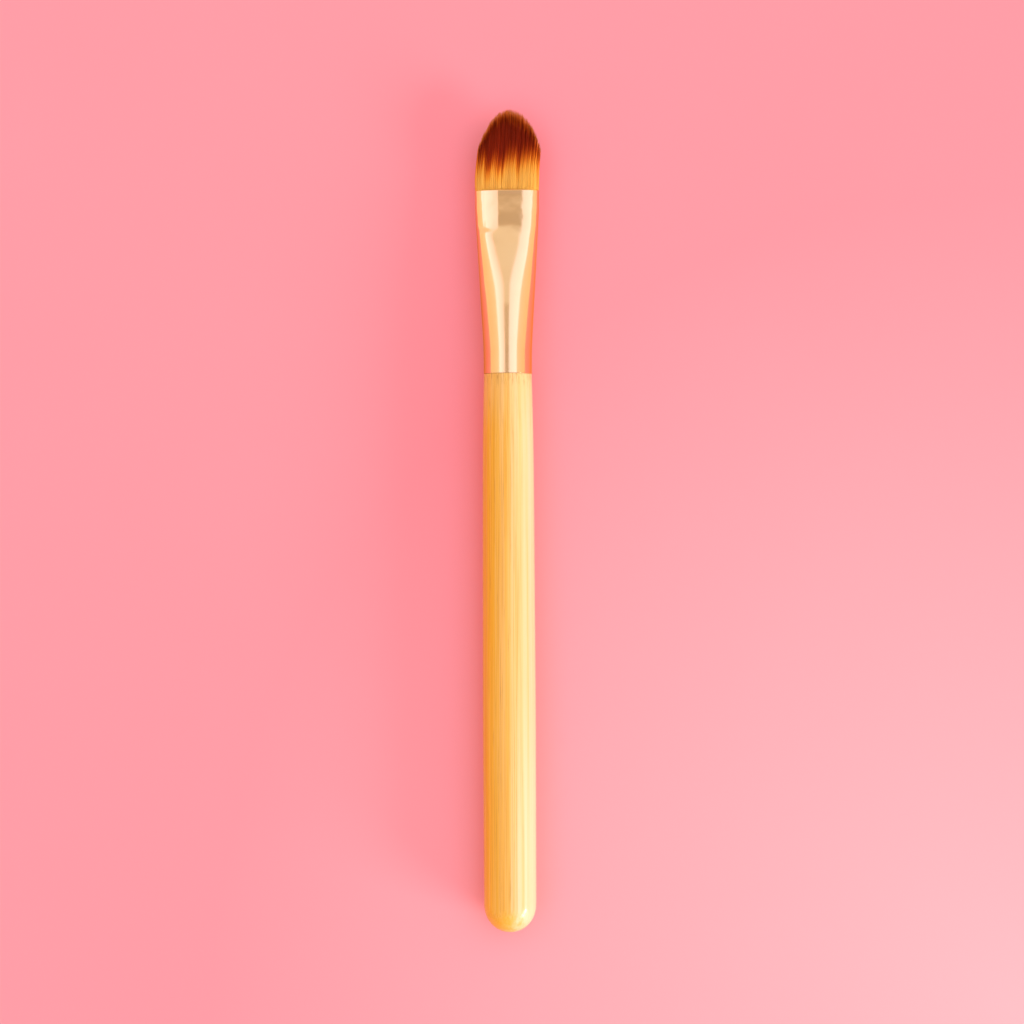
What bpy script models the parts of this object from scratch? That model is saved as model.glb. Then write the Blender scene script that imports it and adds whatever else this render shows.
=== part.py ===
"""A concealer brush: turned bamboo handle, pressed aluminium ferrule and a flat, domed tuft of filaments.

The brush lies on its side. +Y runs from the butt of the handle to the tip of the tuft, X runs across the
flat of the tuft, and the two pressed faces of the ferrule look up and down. The origin is on the surface
that the brush lies on, under the middle of its box. Every piece is modelled about the brush's own axis,
with y = 0 at the ferrule's rim, where the handle's neck meets it.
"""

import math
import random

import bmesh
import bpy
from mathutils import Matrix, Vector
from mathutils.geometry import delaunay_2d_cdt

MM = 0.001

# Ferrule: a round tube whose mouth is pressed flat, so its girth is the same all along.
FERRULE_RADIUS = 4.38 * MM
FERRULE_WALL = 0.35 * MM
SKIRT_LENGTH = 4.2 * MM
PRESSED_LENGTH = 23.6 * MM
COLLAR_LENGTH = 5.6 * MM
COLLAR_THICKNESS = 3.65 * MM
LIP_CHAMFER = 0.12 * MM

# Handle: turned in three straight tapers, flush with the ferrule at the neck, widest at the belly.
NECK_LENGTH = 13.0 * MM
NECK_RADIUS = 4.67 * MM
SWELL_LENGTH = 49.0 * MM
BELLY_RADIUS = 4.87 * MM
TAPER_LENGTH = 34.3 * MM
BUTT_RADIUS = 4.78 * MM
DOME_DEPTH = 5.2 * MM
TENON_LENGTH = 10.0 * MM

# Tuft: filaments fan out just above the mouth, thin to a wedge and are cut to a dome.
TUFT_LENGTH = 14.8 * MM
TUFT_WIDTH = 11.84 * MM
TUFT_THICKNESS = 3.55 * MM
FAN_HEIGHT = 1.6 * MM
TOP_WIDTH = 11.5 * MM
TIP_THICKNESS = 1.0 * MM
TIP_LEAN = 0.6 * MM
CROWN_HEIGHT = 7.7 * MM
CROWN_POWER = 0.625
RAGGED_LENGTH = 0.35 * MM
RAGGED_SEED = 7
STRAND_PITCH = 0.395 * MM
STRAND_SPACING = 0.045 * MM
ROOT_RECESS = 0.6 * MM
ROOT_DEPTH = 4.0 * MM

# Resin behind the roots, and glue round the tenon
PLUG_LENGTH = 8.0 * MM
GLUE_FILM = 0.15 * MM
GLUE_POOL = 1.0 * MM

# Clearances: between bonded faces, between faces that meet end to end, and the roots' play in the mouth.
BOND_GAP = 0.1 * MM
SEAT_GAP = 0.3 * MM
MOUTH_PLAY = 0.25 * MM

# Fineness of the meshes. SIDES is a multiple of 4, so that one side of each section faces straight down.
SIDES = 24
DOME_STEPS = 8
WELD_DISTANCE = 0.001 * MM
SHARP_ANGLE = math.radians(30)

# How far a filament has grown, before it is combed: its root, the end of the fan, the start of its point.
ROOT_LEVEL, FAN_LEVEL, POINT_LEVEL, TIP_LEVEL = 0.0, 0.12, 0.66, 1.0

# Worked out from the sizes above
CORNER = 1 / math.cos(math.pi / SIDES)  # a corner's distance from the axis, where a side's is 1
COLLAR_RADIUS = COLLAR_THICKNESS / 2
COLLAR_FLAT = math.pi * (FERRULE_RADIUS - COLLAR_RADIUS) / 2  # half the straight run that pressing makes
COLLAR_START = SKIRT_LENGTH + PRESSED_LENGTH
MOUTH = COLLAR_START + COLLAR_LENGTH
SHOULDER = -SEAT_GAP
DOME_START = SHOULDER - NECK_LENGTH - SWELL_LENGTH - TAPER_LENGTH
BUTT_END = DOME_START - DOME_DEPTH
TENON_END = SHOULDER + TENON_LENGTH
ROOT_TOP = MOUTH - ROOT_RECESS
PLUG_TOP = ROOT_TOP - ROOT_DEPTH - SEAT_GAP
AXIS_HEIGHT = max(FERRULE_RADIUS, NECK_RADIUS, BELLY_RADIUS, BUTT_RADIUS)
MIDDLE = (BUTT_END + MOUTH + TUFT_LENGTH) / 2


def blend(start, end, share):
    return start + (end - start) * share


def make_material(name, color, roughness, metallic=0.0):
    material = bpy.data.materials.new(name)
    material.use_nodes = True
    shader = material.node_tree.nodes["Principled BSDF"]
    shader.inputs["Base Color"].default_value = (*color, 1.0)
    shader.inputs["Roughness"].default_value = roughness
    shader.inputs["Metallic"].default_value = metallic
    return material


def add_piece(name, bm, material, brush):
    """Make a finished mesh into a named object on the brush."""
    bmesh.ops.recalc_face_normals(bm, faces=bm.faces)
    mesh = bpy.data.meshes.new(name)
    bm.to_mesh(mesh)
    bm.free()
    mesh.materials.append(material)
    mesh.shade_smooth()
    mesh.set_sharp_from_angle(angle=SHARP_ANGLE)
    piece = bpy.data.objects.new(name, mesh)
    bpy.context.collection.objects.link(piece)
    piece.parent = brush
    return piece


def open_edges(bm):
    return [edge for edge in bm.edges if edge.is_boundary]


def verts_of(made):
    return [item for item in made["geom"] if isinstance(item, bmesh.types.BMVert)]


def turned_mesh(profile):
    """Spin a profile of (radius, y) points, from one point on the axis to another, about the axis."""
    bm = bmesh.new()
    start = Matrix.Rotation(math.pi / SIDES, 3, "Y")
    verts = [bm.verts.new(start @ Vector((radius * CORNER, y, 0))) for radius, y in profile]
    edges = [bm.edges.new(pair) for pair in zip(verts, verts[1:])]
    bmesh.ops.spin(
        bm, geom=verts + edges, cent=(0, 0, 0), axis=(0, 1, 0), angle=math.tau, steps=SIDES
    )
    bmesh.ops.remove_doubles(bm, verts=bm.verts, dist=WELD_DISTANCE)
    return bm


def place_section(verts, current, section):
    """Scale and move a section's corners, each half about its own centre, from one section to another."""
    _, old_radius, old_flat = current
    y, radius, flat = section
    for vert in verts:
        side = math.copysign(1.0, vert.co.x)
        x = (vert.co.x - side * old_flat) * radius / old_radius + side * flat
        vert.co = (x, y, vert.co.z * radius / old_radius)


def lofted_mesh(sections, joined_up=False):
    """Extrude a ring through (y, radius, flat) sections, and join its ends up or fill them in.

    A section is a circle whose two halves stand apart, which leaves a flat above and a flat below.
    """
    bm = bmesh.new()
    facing_y = Matrix.Rotation(math.pi / 2, 4, "X") @ Matrix.Rotation(math.pi / SIDES, 4, "Z")
    circle = bmesh.ops.create_circle(bm, segments=SIDES, radius=CORNER, matrix=facing_y)["verts"]
    place_section(circle, (0.0, 1.0, 0.0), sections[0])
    stops = [*sections, sections[0]] if joined_up else sections
    ring = list(bm.edges)
    for current, section in zip(stops, stops[1:]):
        made = bmesh.ops.extrude_edge_only(bm, edges=ring)
        ring = [item for item in made["geom"] if isinstance(item, bmesh.types.BMEdge)]
        place_section(verts_of(made), current, section)
    if joined_up:
        bmesh.ops.remove_doubles(bm, verts=bm.verts, dist=WELD_DISTANCE)
    else:
        bmesh.ops.holes_fill(bm, edges=open_edges(bm), sides=SIDES)
    return bm


def pressed_share(y):
    """0 on the round skirt, 1 on the flat collar, and even between them."""
    return min(max((y - SKIRT_LENGTH) / PRESSED_LENGTH, 0.0), 1.0)


def ferrule_radius(y, inset=0.0):
    """Half the ferrule's thickness here, taken this far inside its outer face."""
    return blend(FERRULE_RADIUS, COLLAR_RADIUS, pressed_share(y)) - inset


def bends_between(low, high):
    """Where the ferrule's outline bends, of the places between these two."""
    return [y for y in (SKIRT_LENGTH, COLLAR_START) if low < y < high]


def ferrule_sections(low, high, inset=0.0):
    """The ferrule's shape from low to high, taken this far inside its outer face."""
    stops = [low, *bends_between(low, high), high]
    return [(y, ferrule_radius(y, inset), COLLAR_FLAT * pressed_share(y)) for y in stops]


def tenon_radius(y):
    """The tenon follows the bore, which the pressed part narrows, and leaves room for the glue."""
    return ferrule_radius(y, FERRULE_WALL) - 2 * BOND_GAP - GLUE_FILM


def tenon_stops():
    return [SHOULDER, *bends_between(SHOULDER, TENON_END), TENON_END]


def handle_profile():
    """(radius, y) points from the end of the butt to the end of the tenon."""
    angles = [math.pi / 2 * step / DOME_STEPS for step in range(DOME_STEPS + 1)]
    dome = [(BUTT_RADIUS * math.sin(a), DOME_START - DOME_DEPTH * math.cos(a)) for a in angles]
    belly = (BELLY_RADIUS, DOME_START + TAPER_LENGTH)
    neck = (NECK_RADIUS, SHOULDER - NECK_LENGTH)
    shoulder = (FERRULE_RADIUS, SHOULDER)
    tenon = [(tenon_radius(y), y) for y in tenon_stops()]
    return [*dome, belly, neck, shoulder, *tenon, (0.0, TENON_END)]


def make_handle(brush):
    bamboo = make_material("bamboo", (0.86, 0.50, 0.16), roughness=0.35)
    add_piece("handle", turned_mesh(handle_profile()), bamboo, brush)


def make_ferrule(brush):
    outside = ferrule_sections(0.0, MOUTH - LIP_CHAMFER)
    lip = (MOUTH, ferrule_radius(MOUTH, LIP_CHAMFER), COLLAR_FLAT)
    inside = ferrule_sections(0.0, MOUTH, FERRULE_WALL)
    wall = [*outside, lip, *reversed(inside)]
    gold = make_material("gold_aluminium", (0.93, 0.66, 0.35), roughness=0.18, metallic=1.0)
    add_piece("ferrule", lofted_mesh(wall, joined_up=True), gold, brush)


def make_root_plug(brush):
    """Cured resin that fills the ferrule behind the root slice."""
    resin = make_material("resin", (0.45, 0.30, 0.12), roughness=0.3)
    sections = ferrule_sections(PLUG_TOP - PLUG_LENGTH, PLUG_TOP, FERRULE_WALL + BOND_GAP)
    add_piece("root_plug", lofted_mesh(sections), resin, brush)


def make_tenon_glue(brush):
    """A cup of glue: a film round the tenon, and the pool that its end pushes ahead of it."""
    floor = TENON_END + BOND_GAP
    outside = ferrule_sections(SEAT_GAP, floor + GLUE_POOL, FERRULE_WALL + BOND_GAP)
    stops = [SEAT_GAP, *bends_between(SEAT_GAP, TENON_END), floor]
    inside = [(y, tenon_radius(y) + BOND_GAP, 0.0) for y in stops]
    glue = make_material("glue", (0.80, 0.68, 0.42), roughness=0.5)
    add_piece("tenon_glue", lofted_mesh([*reversed(outside), *inside]), glue, brush)


def root_triangles(radius, flat):
    """The filaments' roots: rows of triangles, point up and point down in turn, that fill the section."""
    row_height = STRAND_PITCH * math.sqrt(3) / 2
    corner_distance = STRAND_PITCH / math.sqrt(3) - STRAND_SPACING
    room = radius - STRAND_SPACING
    rows = int(2 * radius / row_height)
    columns = int(2 * (flat + radius) / STRAND_PITCH)
    triangles = []
    for row in range(rows):
        for column in range(-columns, columns + 1):
            points_up = (row + column) % 2 == 1
            x = column * STRAND_PITCH / 2
            z = (row - rows / 2 + (1 / 3 if points_up else 2 / 3)) * row_height
            first_turn = 0.25 if points_up else 0.75
            angles = [math.tau * (first_turn + corner / 3) for corner in range(3)]
            corners = [
                (x + corner_distance * math.cos(a), z + corner_distance * math.sin(a)) for a in angles
            ]
            if all(math.hypot(max(abs(u) - flat, 0.0), v) < room for u, v in corners):
                triangles.append(corners)
    return triangles


def root_face_mesh(radius, flat):
    """The root slice's top face, cut up so that each filament's root is a face of its own."""
    angles = [math.tau * (step + 0.5) / SIDES for step in range(SIDES)]
    circle = [(radius * CORNER * math.cos(a), radius * CORNER * math.sin(a)) for a in angles]
    points = [(x + math.copysign(flat, x), z) for x, z in circle]
    rim = [(step, (step + 1) % SIDES) for step in range(SIDES)]
    roots = []
    for corners in root_triangles(radius, flat):
        roots.append(list(range(len(points), len(points) + 3)))
        points += corners
    inside_only = 1
    points, _, faces, _, _, sources = delaunay_2d_cdt(
        [Vector(point) for point in points], rim, roots, inside_only, WELD_DISTANCE
    )
    bm = bmesh.new()
    verts = [bm.verts.new((x, ROOT_LEVEL, z)) for x, z in points]
    made = [bm.faces.new([verts[index] for index in face]) for face in faces]
    return bm, [face for face, source in zip(made, sources) if source]


def raised(bm, faces, level):
    """Extrude each face on its own up to this level."""
    tops = bmesh.ops.extrude_discrete_faces(bm, faces=faces)["faces"]
    for vert in {vert for face in tops for vert in face.verts}:
        vert.co.y = level
    return tops


def strand_length(across):
    """A filament's length above the mouth, at this share of the tuft's half width."""
    return TUFT_LENGTH - CROWN_HEIGHT * (1 - (1 - min(across**2, 1.0)) ** CROWN_POWER)


def combed(point, reach_x, reach_z):
    """Where a point of the straight tuft lies once the filaments are fanned, thinned, cut and leaned."""
    if point.y <= ROOT_LEVEL:
        return Vector((point.x, ROOT_TOP, point.z))
    grown = (point.y - FAN_LEVEL) / (TIP_LEVEL - FAN_LEVEL)
    height = blend(FAN_HEIGHT, strand_length(point.x / reach_x), grown)
    share = (height - FAN_HEIGHT) / (TUFT_LENGTH - FAN_HEIGHT)
    x = point.x / reach_x * blend(TUFT_WIDTH, TOP_WIDTH, share) / 2 + TIP_LEAN * share
    z = point.z / reach_z * blend(TUFT_THICKNESS, TIP_THICKNESS, share) / 2
    return Vector((x, MOUTH + height, z))


def make_filament_tuft(brush):
    """Grow the filaments straight out of their root slice, comb them to shape, then close the slice."""
    bm, roots = root_face_mesh(COLLAR_RADIUS - FERRULE_WALL - MOUTH_PLAY, COLLAR_FLAT)
    rim = open_edges(bm)
    reach_x = max(abs(vert.co.x) for face in roots for vert in face.verts)
    reach_z = max(abs(vert.co.z) for face in roots for vert in face.verts)
    shafts = raised(bm, raised(bm, roots, FAN_LEVEL), POINT_LEVEL)
    tips = bmesh.ops.poke(bm, faces=shafts)["verts"]
    ragged = random.Random(RAGGED_SEED)
    for tip in tips:
        tip.co.y = TIP_LEVEL - ragged.uniform(0, RAGGED_LENGTH / TUFT_LENGTH)
    for vert in bm.verts:
        vert.co = combed(vert.co, reach_x, reach_z)
    for vert in verts_of(bmesh.ops.extrude_edge_only(bm, edges=rim)):
        vert.co.y -= ROOT_DEPTH
    bmesh.ops.holes_fill(bm, edges=open_edges(bm), sides=SIDES)
    print(f"filaments: {len(tips)}")
    add_piece("filament_tuft", bm, make_material("filament", (0.42, 0.12, 0.03), roughness=0.45), brush)


def main():
    for leftover in list(bpy.data.objects):
        bpy.data.objects.remove(leftover)
    brush = bpy.data.objects.new("brush", None)
    bpy.context.collection.objects.link(brush)
    brush.location = (0, -MIDDLE, AXIS_HEIGHT)
    make_handle(brush)
    make_ferrule(brush)
    make_filament_tuft(brush)
    make_root_plug(brush)
    make_tenon_glue(brush)


main()
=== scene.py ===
# %% [markdown]
# # A concealer brush, dressed for its photograph
#
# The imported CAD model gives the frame: where each piece is, and how big. This script puts the looks on it.
# The brush is a turned bamboo handle, a ferrule of gold anodised aluminium that is pressed flat at its
# mouth, and a domed tuft of filaments that are dyed dark at their tips. Each is modelled finely here and
# stands in for its plain CAD node, as does the resin inside. Only the glue keeps its CAD mesh and just gets
# a finish.
#
# +Y runs from the butt to the tip of the tuft, X runs across the flat of the tuft, and +Z is up.

# %% Load the frame
import math
import random

import bmesh
import bpy
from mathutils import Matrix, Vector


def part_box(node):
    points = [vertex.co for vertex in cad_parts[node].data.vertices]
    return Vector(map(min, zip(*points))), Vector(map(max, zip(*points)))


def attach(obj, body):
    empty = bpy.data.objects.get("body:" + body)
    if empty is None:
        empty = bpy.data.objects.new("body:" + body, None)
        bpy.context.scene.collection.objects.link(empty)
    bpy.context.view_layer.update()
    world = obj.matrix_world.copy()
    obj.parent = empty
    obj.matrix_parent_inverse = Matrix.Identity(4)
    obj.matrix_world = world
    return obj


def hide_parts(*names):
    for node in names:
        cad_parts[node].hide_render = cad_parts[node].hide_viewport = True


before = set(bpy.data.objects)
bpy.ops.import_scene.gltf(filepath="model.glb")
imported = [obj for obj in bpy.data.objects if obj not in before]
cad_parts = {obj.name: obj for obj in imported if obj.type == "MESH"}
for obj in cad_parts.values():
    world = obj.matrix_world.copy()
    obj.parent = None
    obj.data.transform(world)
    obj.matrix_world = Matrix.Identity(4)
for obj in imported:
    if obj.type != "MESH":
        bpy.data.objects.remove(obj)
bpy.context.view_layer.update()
print("CAD nodes:", sorted(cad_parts))

# %% [markdown]
# ## Where things are
#
# Every place comes from the boxes of the CAD nodes, so a new piece lands where its node is and nothing is
# fitted by eye. The brush has one axis, and three stations along it matter: the ferrule's rim, where the
# handle's shoulder meets it, the ferrule's mouth, where the filaments come out, and the end of the butt.

# %% Take the stations from the CAD
MM = 0.001
handle_low, handle_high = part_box("handle")
ferrule_low, ferrule_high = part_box("ferrule")
tuft_low, tuft_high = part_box("filament_tuft")
plug_low, plug_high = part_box("root_plug")
AXIS = (ferrule_low.z + ferrule_high.z) / 2
RIM, MOUTH = ferrule_low.y, ferrule_high.y
BUTT_END, TENON_END = handle_low.y, handle_high.y
TUFT_LENGTH = tuft_high.y - MOUTH
print(f"axis {AXIS / MM:.2f} mm up, rim at {RIM / MM:.1f}, mouth at {MOUTH / MM:.1f}")
print(f"tuft {TUFT_LENGTH / MM:.1f} mm long")

# %% [markdown]
# ## Lines with softened corners
#
# A turner cuts straight tapers and sandpaper rounds off the corners between them. A press does the same to
# sheet metal. So both profiles are written as a few corner points, and one helper runs a line through them
# that turns smoothly at each corner. It adds up one hinge for each corner: a hinge is flat before its
# corner, climbs at a steady slope after it, and `softness` is about how long the turn takes.
#
# Other features fade in and out along the brush. `smooth_step` fades one in, and `fade_out` fades it out.


# %% Soften a line's corners
def hinge(distance, softness):
    return (distance + math.hypot(distance, softness)) / 2


def softened(corners, place, softness):
    """Height at this place of the line through the corners, which turns smoothly at each of them."""
    slopes = [(b[1] - a[1]) / (b[0] - a[0]) for a, b in zip(corners, corners[1:])]
    height = corners[0][1] + slopes[0] * (place - corners[0][0])
    for corner, before, after in zip(corners[1:], slopes, slopes[1:]):
        height += (after - before) * hinge(place - corner[0], softness)
    return height


def smooth_step(start, end, value):
    share = min(max((value - start) / (end - start), 0.0), 1.0)
    return share * share * (3 - 2 * share)


def fade_out(start, end, value):
    return 1 - smooth_step(start, end, value)


# %% [markdown]
# ## Small helpers for modelling by hand
#
# Blender's operators work on what is selected. A finished piece has its place in its mesh, with the object
# itself at the origin, as the CAD nodes have. Then patterns that read Object coordinates mean the same place
# on every piece.
#
# Blender makes circles and cylinders round the Z axis, so each is laid down along the brush with `LYING`.

# %% Start and finish a piece
LYING = (math.pi / 2, 0, 0)


def start_editing():
    bpy.ops.object.mode_set(mode="EDIT")
    bpy.ops.mesh.select_mode(type="VERT")


def select_where(piece, kind, test):
    """Select the edges or the faces of the piece being edited that pass the test."""
    mesh = bmesh.from_edit_mesh(piece.data)
    bpy.ops.mesh.select_mode(type={"edges": "EDGE", "faces": "FACE"}[kind])
    bpy.ops.mesh.select_all(action="DESELECT")
    chosen = [part for part in getattr(mesh, kind) if test(part)]
    for part in chosen:
        part.select_set(True)
    mesh.select_flush_mode()
    bmesh.update_edit_mesh(piece.data)
    return len(chosen)


def length_along_y(edge):
    return abs(edge.verts[0].co.y - edge.verts[1].co.y)


def extrude_along(distance):
    bpy.ops.mesh.extrude_region_move(TRANSFORM_OT_translate={"value": (0, distance, 0)})


def close_and_leave():
    """Draw the last ring to a point, turn all faces outwards, and leave edit mode."""
    bpy.ops.mesh.merge(type="CENTER")
    bpy.ops.mesh.select_all(action="SELECT")
    bpy.ops.mesh.normals_make_consistent(inside=False)
    bpy.ops.object.mode_set(mode="OBJECT")


def finish_piece(piece, name, node, smooth_angle=40):
    """Put the place in the mesh, smooth the faces, and let the piece stand for its CAD node."""
    bpy.ops.object.transform_apply(location=True, rotation=True, scale=True)
    bpy.ops.object.shade_smooth_by_angle(angle=math.radians(smooth_angle))
    piece.name = piece.data.name = name
    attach(piece, "root")
    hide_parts(node)
    triangles = sum(len(face.vertices) - 2 for face in piece.data.polygons)
    print(f"{name}: {triangles} triangles")


# %% [markdown]
# ## Handle
#
# The real handle is one length of bamboo, turned on a copying lathe: flush with the ferrule at the shoulder,
# fullest about two fifths of the way up from the butt, and rounded at the butt like an egg. A tenon that is
# hidden in the ferrule holds it.
#
# It could be a spun profile or a subdivided cylinder. Drawing one disc out from the tenon to the butt is
# closest to what a lathe does: extrude a little, scale to the radius there, and repeat. Every ring is then a
# true circle, and the rings can be close together where the profile turns and far apart where it is nearly
# straight.

# %% Write the handle's profile
SHOULDER = RIM - 0.04 * MM
BUTT_START = BUTT_END + 5.2 * MM
BUTT_FULLNESS = 2.1  # 2 is an ellipse
# Each corner is (place along Y, radius there)
TAPERS = [
    (BUTT_START, 4.78 * MM),
    (RIM - 62.3 * MM, 4.86 * MM),
    (RIM - 13.3 * MM, 4.67 * MM),
    (SHOULDER, 4.375 * MM),
]
TAPER_SOFTNESS = 4.0 * MM
TENON_RADIUS, TENON_TIP_RADIUS = 3.68 * MM, 3.0 * MM
TENON_TAPER_START = RIM + 4.2 * MM
SHOULDER_BREAK = [(0.0, 4.32 * MM), (0.03 * MM, 4.355 * MM), (0.08 * MM, 4.37 * MM)]
FIRST_BODY_RING = 0.3 * MM
HANDLE_SIDES, BODY_RINGS, BUTT_RINGS = 96, 32, 18


def handle_radius(y):
    return softened(TAPERS, y, TAPER_SOFTNESS)


def butt_ring(share):
    """(y, radius) on the rounded butt, from 0 at its start to 1 at its end."""
    angle = share * math.pi / 2
    depth = math.sin(angle) ** (2 / BUTT_FULLNESS)
    reach = math.cos(angle) ** (2 / BUTT_FULLNESS)
    return BUTT_START + (BUTT_END - BUTT_START) * depth, handle_radius(BUTT_START) * reach


rings = [(TENON_END, TENON_TIP_RADIUS), (TENON_TAPER_START, TENON_RADIUS), (SHOULDER, TENON_RADIUS)]
rings += [(SHOULDER - below, radius) for below, radius in SHOULDER_BREAK]
for step in range(BODY_RINGS):
    ring_y = SHOULDER - FIRST_BODY_RING - (SHOULDER - BUTT_START) * step / BODY_RINGS
    rings.append((ring_y, handle_radius(ring_y)))
rings += [butt_ring(step / BUTT_RINGS) for step in range(BUTT_RINGS)]
print(f"{len(rings)} rings, widest {max(radius for y, radius in rings) * 2 / MM:.2f} mm across")

# %% Draw a disc out along the profile
bpy.ops.object.select_all(action="DESELECT")
bpy.ops.mesh.primitive_circle_add(
    vertices=HANDLE_SIDES, radius=rings[0][1], fill_type="NGON",
    location=(0, rings[0][0], AXIS), rotation=LYING
)
handle = bpy.context.object
start_editing()
bpy.ops.mesh.select_mode(type="FACE")
bpy.ops.mesh.select_all(action="SELECT")
for (y, radius), (next_y, next_radius) in zip(rings, rings[1:]):
    extrude_along(next_y - y)
    scale = next_radius / radius
    bpy.ops.transform.resize(value=(scale, 1, scale), center_override=(0, next_y, AXIS))

# %% Close the butt and finish the handle
extrude_along(BUTT_END - rings[-1][0])
close_and_leave()
finish_piece(handle, "turned_handle", "handle")

# %% [markdown]
# ## Ferrule
#
# The real ferrule is a drawn aluminium tube. A press squeezes its mouth between two flat jaws, which leaves a
# flat collar round the filaments and, below it, a V where the flat runs out into the round tube. The sheet
# isn't stretched, so the girth is nearly the same everywhere.
#
# A box with bevels could be shaped like this only by eye. Instead a fine open tube is made and then pressed
# in code as the jaws do: each point keeps its share of the girth and moves to that share of the pressed
# section. On a round tube the surface turns evenly with the girth. Pressed, it hardly turns near the middle
# of the face and turns faster and faster towards the side, so one number, `flatness`, is the power of the
# girth that the turn follows.
#
# Stations on the ferrule are measured down from its mouth.

# %% Write the pressed section
TUBE_RADIUS = 4.38 * MM
WALL = 0.35 * MM
# Each corner is (distance below the mouth, half the width or half the thickness there)
WIDTHS = [(-10 * MM, 5.835 * MM), (3.4 * MM, 5.835 * MM), (29.0 * MM, TUBE_RADIUS), (50 * MM, TUBE_RADIUS)]
THICKNESSES = [
    (-10 * MM, 1.72 * MM), (1.0 * MM, 1.72 * MM), (4.7 * MM, 1.915 * MM), (6.6 * MM, 1.915 * MM),
    (14.6 * MM, 3.05 * MM), (21.0 * MM, 3.85 * MM), (29.0 * MM, TUBE_RADIUS), (50 * MM, TUBE_RADIUS),
]
WIDTH_SOFTNESS, THICKNESS_SOFTNESS = 1.6 * MM, 0.35 * MM
FLARE, FLARE_LENGTH = 0.05 * MM, 0.4 * MM
QUARTER_STEPS, FINE_STEPS = 40, 8
SIDES, BANDS = 4 * QUARTER_STEPS, 84


def quarter_section(flatness):
    """Points (x, z) from the middle of the face to the side, evenly spaced along the girth, each to 1."""
    xs, zs = [0.0], [0.0]
    for step in range(QUARTER_STEPS * FINE_STEPS):
        turn = math.pi / 2 * ((step + 0.5) / (QUARTER_STEPS * FINE_STEPS)) ** flatness
        xs.append(xs[-1] + math.cos(turn))
        zs.append(zs[-1] + math.sin(turn))
    return [(x / xs[-1], 1 - z / zs[-1]) for x, z in zip(xs[::FINE_STEPS], zs[::FINE_STEPS])]


def section_size(below_mouth):
    """Half the width and half the thickness here; the lip flares by a few hundredths."""
    flare = FLARE * math.exp(-((below_mouth / FLARE_LENGTH) ** 2))
    wide = softened(WIDTHS, below_mouth, WIDTH_SOFTNESS)
    thick = softened(THICKNESSES, below_mouth, THICKNESS_SOFTNESS)
    return wide + flare, thick + flare


print(f"mouth {2 * section_size(0)[0] / MM:.2f} x {2 * section_size(0)[1] / MM:.2f} mm")

# %% Make a fine open tube
bpy.ops.object.select_all(action="DESELECT")
bpy.ops.mesh.primitive_cylinder_add(
    vertices=SIDES, radius=TUBE_RADIUS, depth=MOUTH - RIM, end_fill_type="NOTHING",
    location=(0, (MOUTH + RIM) / 2, AXIS), rotation=LYING
)
ferrule = bpy.context.object
bpy.ops.object.transform_apply(location=True, rotation=True, scale=True)
start_editing()
long_edges = select_where(ferrule, "edges", lambda edge: length_along_y(edge) > MM)
bpy.ops.mesh.subdivide(number_cuts=BANDS - 1)
bpy.ops.object.mode_set(mode="OBJECT")
print(f"{long_edges} long edges cut into {BANDS} bands: {len(ferrule.data.vertices)} points")

# %% [markdown]
# The jaws don't leave a perfect face. The collar is rolled a little to one side, and so is the V. The face
# falls towards the lip by two tenths of a millimetre, a crease runs up the left where the jaw's edge was, and
# a faint hollow is left where the bundle of filaments ends under it. A polished face shows each of these as
# a patch of light or dark.
#
# A name that ends in `_COMES` or `_GONE` holds the two stations between which something fades in or out.

# %% Write the jaws' marks
COLLAR_ROLL, COLLAR_ROLL_GONE = math.radians(-1.6), (6.6 * MM, 8.2 * MM)
V_ROLL, V_ROLL_COMES, V_ROLL_GONE = math.radians(-1.3), (7.5 * MM, 10.5 * MM), (19 * MM, 27 * MM)
EXTRA_FLATNESS, FLATNESS_GONE = 2.4, (6.8 * MM, 18.0 * MM)
CREASE_X, CREASE_SOFTNESS, CREASE_GONE = 1.55 * MM, 0.12 * MM, (6.1 * MM, 8.3 * MM)
PAST_CREASE_SLOPE, PAST_CREASE_DEPTH = 0.125, 0.32 * MM
HOLLOW_X, HOLLOW_STATION, HOLLOW_DEPTH = 0.4 * MM, 5.6 * MM, 0.010 * MM
HOLLOW_WIDTH, HOLLOW_LENGTH = 1.7 * MM, 0.8 * MM


def jaw_marks(x, below_mouth):
    """How far the collar's face sinks: left of the crease, and behind the bundle of filaments."""
    past_crease = min(PAST_CREASE_SLOPE * hinge(-x - CREASE_X, CREASE_SOFTNESS), PAST_CREASE_DEPTH)
    along, across = (below_mouth - HOLLOW_STATION) / HOLLOW_LENGTH, (x - HOLLOW_X) / HOLLOW_WIDTH
    hollow = HOLLOW_DEPTH * math.exp(-(along**2) - across**4)
    return past_crease * fade_out(*CREASE_GONE, below_mouth) + hollow


def roll_at(below_mouth):
    """How far the section is rolled about the axis here, in radians."""
    collar_roll = COLLAR_ROLL * fade_out(*COLLAR_ROLL_GONE, below_mouth)
    into_v = smooth_step(*V_ROLL_COMES, below_mouth)
    return collar_roll + V_ROLL * into_v * fade_out(*V_ROLL_GONE, below_mouth)


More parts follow.
